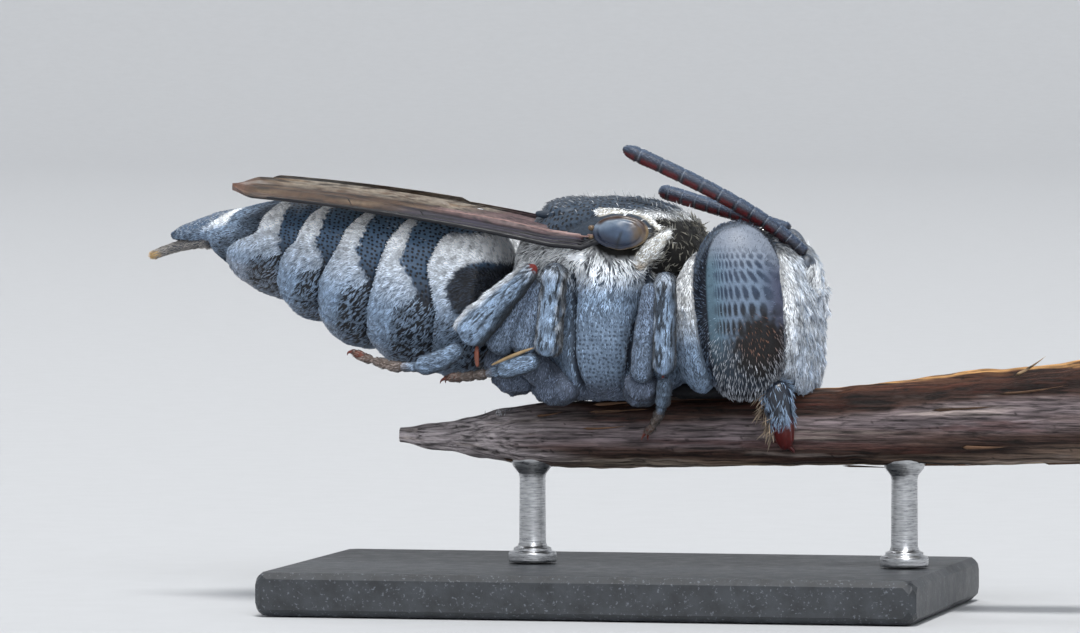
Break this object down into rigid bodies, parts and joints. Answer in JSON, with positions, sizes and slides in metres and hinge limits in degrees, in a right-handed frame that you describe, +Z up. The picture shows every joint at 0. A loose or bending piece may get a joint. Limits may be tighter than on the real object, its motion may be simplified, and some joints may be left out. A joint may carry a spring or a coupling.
{
  "type": "bee model",
  "caption": "Sharp-tailed bee asleep on a dry stem, gripping it with its jaws: legs folded, wings laid back over a pointed banded abdomen, on a small display stand.",
  "frame": {"origin": "middle of the whole model's footprint, on the floor under the stand's base", "axes": "+X the way the bee faces and along the stem towards its cut end, +Y the bee's left, +Z up"},
  "size_m": [0.017, 0.007, 0.0082],
  "materials": {
    "coat": "short dense pale hair over dark shell",
    "shell": "black pitted shell with bands of pale hair",
    "eye": "blue-grey compound eye with fine hair",
    "wing": "smoky brown membrane with dark veins",
    "tegula": "polished brown-black with an amber rim",
    "jaw": "dark red-brown, glossy",
    "stem": "dry split stem, fibrous",
    "stand_base": "satin black",
    "stand_rod": "brushed"
  },
  "bodies": {
    "root": {"perch_stem": "stem", "stand_base": "stand_base", "stand_rod_1": "stand_rod", "stand_rod_2": "stand_rod", "eye_right": "eye", "antenna_right_scape": "shell", "antenna_right_flagellum": "shell", "eye_left": "eye", "antenna_left_scape": "shell", "antenna_left_flagellum": "shell", "head": "coat", "mandible_right": "jaw", "mandible_left": "jaw", "wing_fore_right": "wing", "wing_hind_right": "wing", "wing_fore_left": "wing", "wing_hind_left": "wing", "thorax": "coat", "scutellum": "shell", "tegula_right": "tegula", "tegula_left": "tegula", "leg_front_right_tibia": "coat", "leg_front_right_femur": "coat", "leg_front_right_tarsus": "coat", "leg_front_left_tibia": "coat", "leg_front_left_femur": "coat", "leg_front_left_tarsus": "coat", "leg_middle_right_tibia": "coat", "leg_middle_right_femur": "coat", "leg_middle_right_tarsus": "coat", "leg_middle_left_tibia": "coat", "leg_middle_left_femur": "coat", "leg_middle_left_tarsus": "coat", "leg_hind_right_tibia": "coat", "leg_hind_right_femur": "coat", "leg_hind_right_tarsus": "coat", "leg_hind_left_tibia": "coat", "leg_hind_left_femur": "coat", "leg_hind_left_tarsus": "coat", "leg_front_right_coxa": "coat", "leg_front_left_coxa": "coat", "leg_middle_right_coxa": "coat", "leg_middle_left_coxa": "coat", "leg_hind_right_coxa": "coat", "leg_hind_left_coxa": "coat", "abdomen_1": "shell", "abdomen_2": "shell", "abdomen_3": "shell", "abdomen_4": "shell", "abdomen_5": "shell", "abdomen_6": "shell", "abdomen_sting_plate": "shell"}
  },
  "joints": []
}
